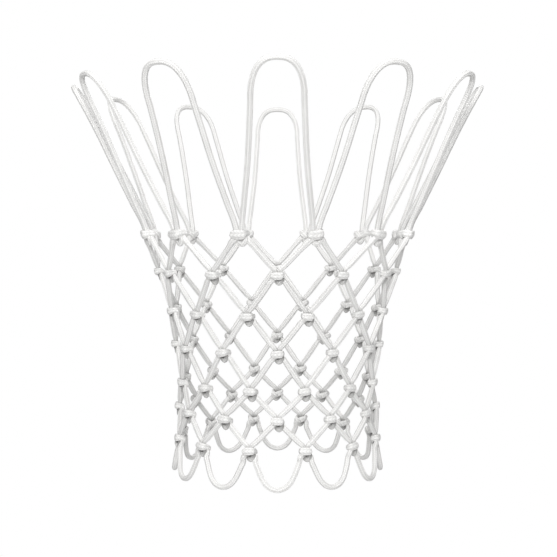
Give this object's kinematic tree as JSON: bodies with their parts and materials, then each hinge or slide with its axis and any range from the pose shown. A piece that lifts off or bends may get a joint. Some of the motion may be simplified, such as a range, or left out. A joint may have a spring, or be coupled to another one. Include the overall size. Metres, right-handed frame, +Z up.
{
  "type": "basketball hoop net",
  "caption": "Open tube of knotted white braided cord that hangs under a basketball ring by long loops, narrows below them, and slows a falling ball.",
  "frame": {"origin": "centre of the circle of hooks that carries the net, at the height of the cord in the tops of the long loops", "axes": "+Z up along the net's axis, -Y towards the first loop, +X to the right as the first loop is faced"},
  "size_m": [0.4822, 0.4822, 0.4549],
  "materials": {
    "cord": "matte white braided nylon cord"
  },
  "bodies": {
    "mesh": {"first_bight_01": "cord", "first_bight_02": "cord", "first_bight_03": "cord", "first_bight_04": "cord", "first_bight_05": "cord", "first_bight_06": "cord", "first_bight_07": "cord", "first_bight_08": "cord", "first_bight_09": "cord", "first_bight_10": "cord", "first_bight_11": "cord", "first_bight_12": "cord", "mesh_round_1": "cord", "mesh_round_2": "cord", "mesh_round_3": "cord", "mesh_round_4": "cord", "mesh_round_5": "cord", "mesh_round_6": "cord", "last_knot_01": "cord", "last_knot_02": "cord", "last_knot_03": "cord", "last_knot_04": "cord", "last_knot_05": "cord", "last_knot_06": "cord", "last_knot_07": "cord", "last_knot_08": "cord", "last_knot_09": "cord", "last_knot_10": "cord", "last_knot_11": "cord", "last_knot_12": "cord"},
    "top_loop_01": {"top_loop_01": "cord"},
    "top_loop_02": {"top_loop_02": "cord"},
    "top_loop_03": {"top_loop_03": "cord"},
    "top_loop_04": {"top_loop_04": "cord"},
    "top_loop_05": {"top_loop_05": "cord"},
    "top_loop_06": {"top_loop_06": "cord"},
    "top_loop_07": {"top_loop_07": "cord"},
    "top_loop_08": {"top_loop_08": "cord"},
    "top_loop_09": {"top_loop_09": "cord"},
    "top_loop_10": {"top_loop_10": "cord"},
    "top_loop_11": {"top_loop_11": "cord"},
    "top_loop_12": {"top_loop_12": "cord"},
    "hem_loop_01": {"hem_loop_01": "cord"},
    "hem_loop_02": {"hem_loop_02": "cord"},
    "hem_loop_03": {"hem_loop_03": "cord"},
    "hem_loop_04": {"hem_loop_04": "cord"},
    "hem_loop_05": {"hem_loop_05": "cord"},
    "hem_loop_06": {"hem_loop_06": "cord"},
    "hem_loop_07": {"hem_loop_07": "cord"},
    "hem_loop_08": {"hem_loop_08": "cord"},
    "hem_loop_09": {"hem_loop_09": "cord"},
    "hem_loop_10": {"hem_loop_10": "cord"},
    "hem_loop_11": {"hem_loop_11": "cord"},
    "hem_loop_12": {"hem_loop_12": "cord"}
  },
  "joints": [
    {"name": "top_loop_01_swing", "type": "hinge", "parent": "mesh", "child": "top_loop_01", "pos_m": [0, -0.15368, -0.16055], "axis": [1, 0, 0], "range_deg": [-25, 105]},
    {"name": "top_loop_02_swing", "type": "hinge", "parent": "mesh", "child": "top_loop_02", "pos_m": [0.07684, -0.13309, -0.16055], "axis": [0.866, 0.5, 0], "range_deg": [-25, 105]},
    {"name": "top_loop_03_swing", "type": "hinge", "parent": "mesh", "child": "top_loop_03", "pos_m": [0.13309, -0.07684, -0.16055], "axis": [0.5, 0.866, 0], "range_deg": [-25, 105]},
    {"name": "top_loop_04_swing", "type": "hinge", "parent": "mesh", "child": "top_loop_04", "pos_m": [0.15368, 0, -0.16055], "axis": [0, 1, 0], "range_deg": [-25, 105]},
    {"name": "top_loop_05_swing", "type": "hinge", "parent": "mesh", "child": "top_loop_05", "pos_m": [0.13309, 0.07684, -0.16055], "axis": [-0.5, 0.866, 0], "range_deg": [-25, 105]},
    {"name": "top_loop_06_swing", "type": "hinge", "parent": "mesh", "child": "top_loop_06", "pos_m": [0.07684, 0.13309, -0.16055], "axis": [-0.866, 0.5, 0], "range_deg": [-25, 105]},
    {"name": "top_loop_07_swing", "type": "hinge", "parent": "mesh", "child": "top_loop_07", "pos_m": [0, 0.15368, -0.16055], "axis": [-1, 0, 0], "range_deg": [-25, 105]},
    {"name": "top_loop_08_swing", "type": "hinge", "parent": "mesh", "child": "top_loop_08", "pos_m": [-0.07684, 0.13309, -0.16055], "axis": [-0.866, -0.5, 0], "range_deg": [-25, 105]},
    {"name": "top_loop_09_swing", "type": "hinge", "parent": "mesh", "child": "top_loop_09", "pos_m": [-0.13309, 0.07684, -0.16055], "axis": [-0.5, -0.866, 0], "range_deg": [-25, 105]},
    {"name": "top_loop_10_swing", "type": "hinge", "parent": "mesh", "child": "top_loop_10", "pos_m": [-0.15368, 0, -0.16055], "axis": [0, -1, 0], "range_deg": [-25, 105]},
    {"name": "top_loop_11_swing", "type": "hinge", "parent": "mesh", "child": "top_loop_11", "pos_m": [-0.13309, -0.07684, -0.16055], "axis": [0.5, -0.866, 0], "range_deg": [-25, 105]},
    {"name": "top_loop_12_swing", "type": "hinge", "parent": "mesh", "child": "top_loop_12", "pos_m": [-0.07684, -0.13309, -0.16055], "axis": [0.866, -0.5, 0], "range_deg": [-25, 105]},
    {"name": "hem_loop_01_swing", "type": "hinge", "parent": "mesh", "child": "hem_loop_01", "pos_m": [0, -0.11684, -0.41964], "axis": [-1, 0, 0], "range_deg": [-75, 75]},
    {"name": "hem_loop_02_swing", "type": "hinge", "parent": "mesh", "child": "hem_loop_02", "pos_m": [0.05842, -0.10119, -0.41964], "axis": [-0.866, -0.5, 0], "range_deg": [-75, 75]},
    {"name": "hem_loop_03_swing", "type": "hinge", "parent": "mesh", "child": "hem_loop_03", "pos_m": [0.10119, -0.05842, -0.41964], "axis": [-0.5, -0.866, 0], "range_deg": [-75, 75]},
    {"name": "hem_loop_04_swing", "type": "hinge", "parent": "mesh", "child": "hem_loop_04", "pos_m": [0.11684, 0, -0.41964], "axis": [0, -1, 0], "range_deg": [-75, 75]},
    {"name": "hem_loop_05_swing", "type": "hinge", "parent": "mesh", "child": "hem_loop_05", "pos_m": [0.10119, 0.05842, -0.41964], "axis": [0.5, -0.866, 0], "range_deg": [-75, 75]},
    {"name": "hem_loop_06_swing", "type": "hinge", "parent": "mesh", "child": "hem_loop_06", "pos_m": [0.05842, 0.10119, -0.41964], "axis": [0.866, -0.5, 0], "range_deg": [-75, 75]},
    {"name": "hem_loop_07_swing", "type": "hinge", "parent": "mesh", "child": "hem_loop_07", "pos_m": [0, 0.11684, -0.41964], "axis": [1, 0, 0], "range_deg": [-75, 75]},
    {"name": "hem_loop_08_swing", "type": "hinge", "parent": "mesh", "child": "hem_loop_08", "pos_m": [-0.05842, 0.10119, -0.41964], "axis": [0.866, 0.5, 0], "range_deg": [-75, 75]},
    {"name": "hem_loop_09_swing", "type": "hinge", "parent": "mesh", "child": "hem_loop_09", "pos_m": [-0.10119, 0.05842, -0.41964], "axis": [0.5, 0.866, 0], "range_deg": [-75, 75]},
    {"name": "hem_loop_10_swing", "type": "hinge", "parent": "mesh", "child": "hem_loop_10", "pos_m": [-0.11684, 0, -0.41964], "axis": [0, 1, 0], "range_deg": [-75, 75]},
    {"name": "hem_loop_11_swing", "type": "hinge", "parent": "mesh", "child": "hem_loop_11", "pos_m": [-0.10119, -0.05842, -0.41964], "axis": [-0.5, 0.866, 0], "range_deg": [-75, 75]},
    {"name": "hem_loop_12_swing", "type": "hinge", "parent": "mesh", "child": "hem_loop_12", "pos_m": [-0.05842, -0.10119, -0.41964], "axis": [-0.866, 0.5, 0], "range_deg": [-75, 75]}
  ]
}
